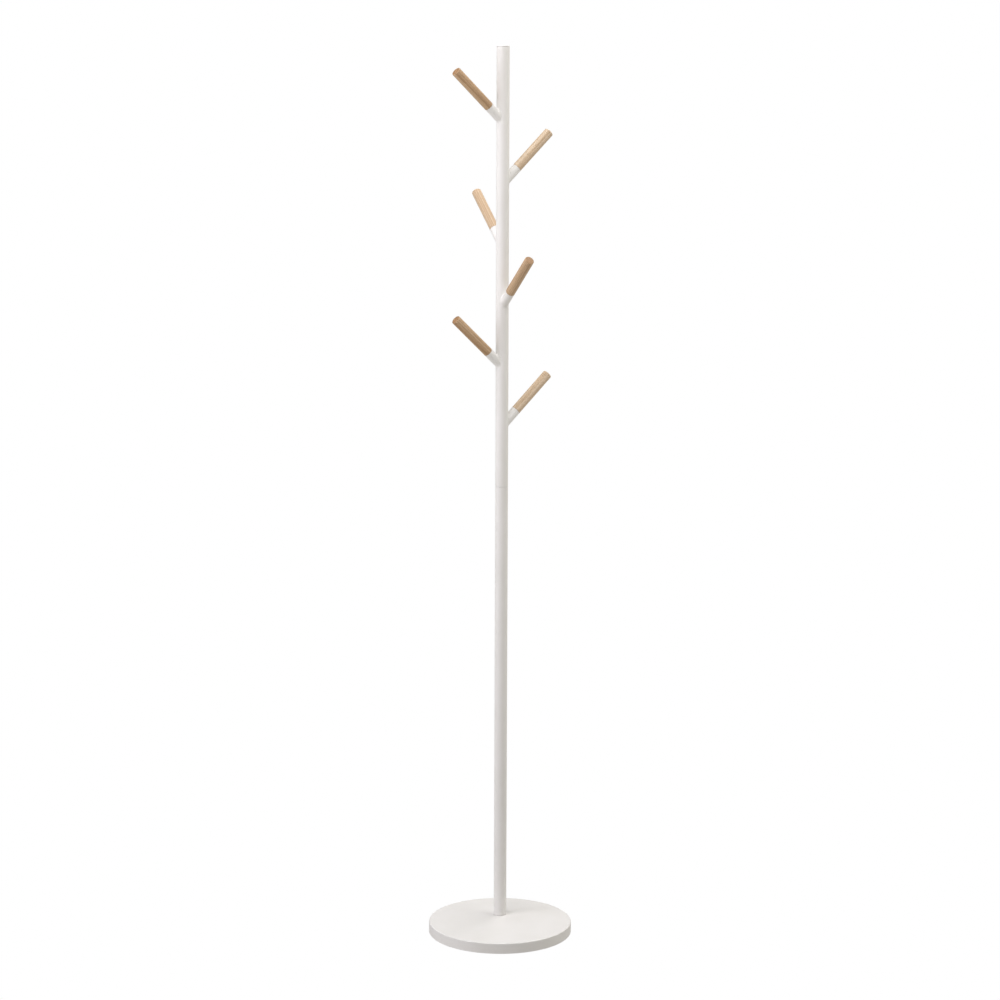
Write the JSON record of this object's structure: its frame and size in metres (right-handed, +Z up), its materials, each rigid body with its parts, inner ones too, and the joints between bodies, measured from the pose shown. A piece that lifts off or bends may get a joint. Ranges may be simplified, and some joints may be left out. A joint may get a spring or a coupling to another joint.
{
  "type": "standing coat rack",
  "caption": "Free-standing coat rack: a round weighted base, a screwed tubular steel pole set back on it, and round wooden pegs angled up on welded steel stubs.",
  "frame": {"origin": "on the floor, under the middle of the round base", "axes": "+Z up along the pole; -Y is the front, and the pole stands 38 mm behind the middle of the base, towards +Y; +X is to the right seen from the front"},
  "size_m": [0.284, 0.284, 1.75],
  "materials": {
    "powder_coating": "satin powder coat, warm off-white",
    "cap_plastic": "moulded, matched to the powder coat",
    "peg_wood": "turned and sanded, clear matt lacquer",
    "cement": "cast cement, left raw",
    "sheet_steel": "galvanised sheet, dull",
    "zinc_plate": "bright zinc plating",
    "foot_foam": "closed-cell foam rubber, matt"
  },
  "bodies": {
    "root": {"base_cover": "powder_coating", "base_weight": "cement", "base_plate": "sheet_steel", "foot_pad_1": "foot_foam", "foot_pad_2": "foot_foam", "foot_pad_3": "foot_foam", "foot_pad_4": "foot_foam", "foot_pad_5": "foot_foam", "foot_pad_6": "foot_foam", "base_bolt": "zinc_plate", "spring_washer": "zinc_plate", "flat_washer": "zinc_plate", "lower_tube": "powder_coating", "upper_tube": "powder_coating", "top_cap": "cap_plastic", "foot_nut": "zinc_plate", "lower_joint_nut": "zinc_plate", "upper_joint_nut": "zinc_plate", "joint_stud": "zinc_plate", "peg_stub_1": "powder_coating", "stub_nut_1": "zinc_plate", "peg_screw_1": "zinc_plate", "peg_1": "peg_wood", "peg_stub_2": "powder_coating", "stub_nut_2": "zinc_plate", "peg_screw_2": "zinc_plate", "peg_2": "peg_wood", "peg_stub_3": "powder_coating", "stub_nut_3": "zinc_plate", "peg_screw_3": "zinc_plate", "peg_3": "peg_wood", "peg_stub_4": "powder_coating", "stub_nut_4": "zinc_plate", "peg_screw_4": "zinc_plate", "peg_4": "peg_wood", "peg_stub_5": "powder_coating", "stub_nut_5": "zinc_plate", "peg_screw_5": "zinc_plate", "peg_5": "peg_wood", "peg_stub_6": "powder_coating", "stub_nut_6": "zinc_plate", "peg_screw_6": "zinc_plate", "peg_6": "peg_wood"}
  },
  "joints": []
}
